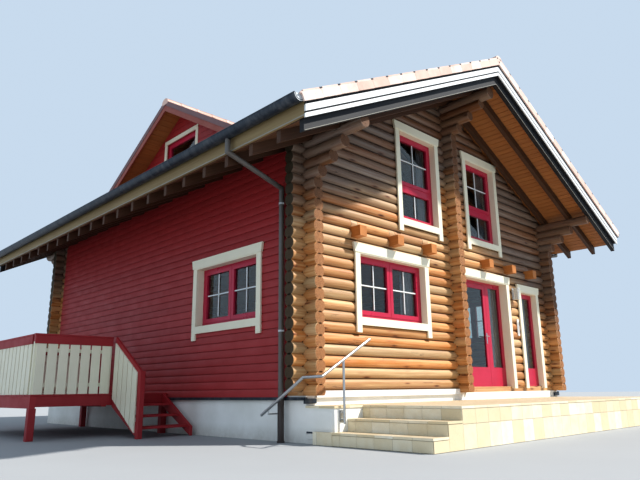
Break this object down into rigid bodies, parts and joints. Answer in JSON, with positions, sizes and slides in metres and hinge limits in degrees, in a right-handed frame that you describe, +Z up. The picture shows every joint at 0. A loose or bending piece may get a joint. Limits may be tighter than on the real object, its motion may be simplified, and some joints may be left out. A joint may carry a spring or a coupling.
{
  "type": "alpine chalet",
  "caption": "Alpine chalet with round log gables, red boarded sides, a low tiled roof, cream window casings and a terrace door that opens.",
  "frame": {"origin": "on the ground under the ridge, on the centre line of the front log wall", "axes": "+X along the front to the right, +Y from the front wall towards the back, +Z up"},
  "size_m": [11.595, 13.125, 6.9849],
  "materials": {
    "white_plaster": "painted masonry, matt",
    "log_pine": "oiled round logs, satin",
    "sawn_timber": "oiled sawn timber, matt",
    "red_boards": "red stained boards, satin",
    "cream_trim": "painted boards, satin",
    "white_boards": "painted boards, satin",
    "red_frames": "gloss painted joinery",
    "pane_glass": "clear glazing",
    "roof_tile": "weathered concrete tile, matt",
    "grey_metal": "anthracite coated sheet",
    "stone_tile": "unglazed tile, matt",
    "rail_steel": "brushed tube",
    "lamp_metal": "pale coated"
  },
  "bodies": {
    "house": {"plinth": "white_plaster", "ground_floor": "sawn_timber", "front_terrace": "stone_tile", "front_steps": "stone_tile", "handrail": "rail_steel", "base_board": "white_boards", "front_wall_left": "log_pine", "front_wall_right": "log_pine", "front_gable": "log_pine", "middle_wall_ends": "log_pine", "left_wall": "log_pine", "right_wall": "log_pine", "back_wall": "log_pine", "left_boarding": "red_boards", "right_boarding": "red_boards", "floor_joists": "sawn_timber", "upper_floor": "sawn_timber", "left_purlin": "log_pine", "right_purlin": "log_pine", "ridge_purlin": "log_pine", "left_rafters": "sawn_timber", "right_rafters": "sawn_timber", "left_roof": "sawn_timber", "right_roof": "sawn_timber", "left_tiles": "roof_tile", "right_tiles": "roof_tile", "ridge_tiles": "roof_tile", "front_verge_boards": "white_boards", "back_verge_boards": "white_boards", "left_fascia": "sawn_timber", "right_fascia": "sawn_timber", "left_gutter": "grey_metal", "right_gutter": "grey_metal", "left_downpipe": "grey_metal", "right_downpipe": "grey_metal", "window_casings": "cream_trim", "window_frames": "red_frames", "window_glass": "pane_glass", "door_casing": "cream_trim", "door_frame": "red_frames", "dormer_walls": "red_boards", "dormer_roof": "roof_tile", "wall_lamp": "lamp_metal", "side_deck": "red_boards", "deck_railing": "white_boards", "deck_stair": "red_boards"},
    "door": {"terrace_door": "red_frames", "terrace_door_glass": "pane_glass"}
  },
  "joints": [
    {"name": "terrace_door_hinge", "type": "hinge", "parent": "house", "child": "door", "pos_m": [0.393, 0.109, 0.7], "axis": [0, 0, 1], "range_deg": [0, 95]}
  ]
}
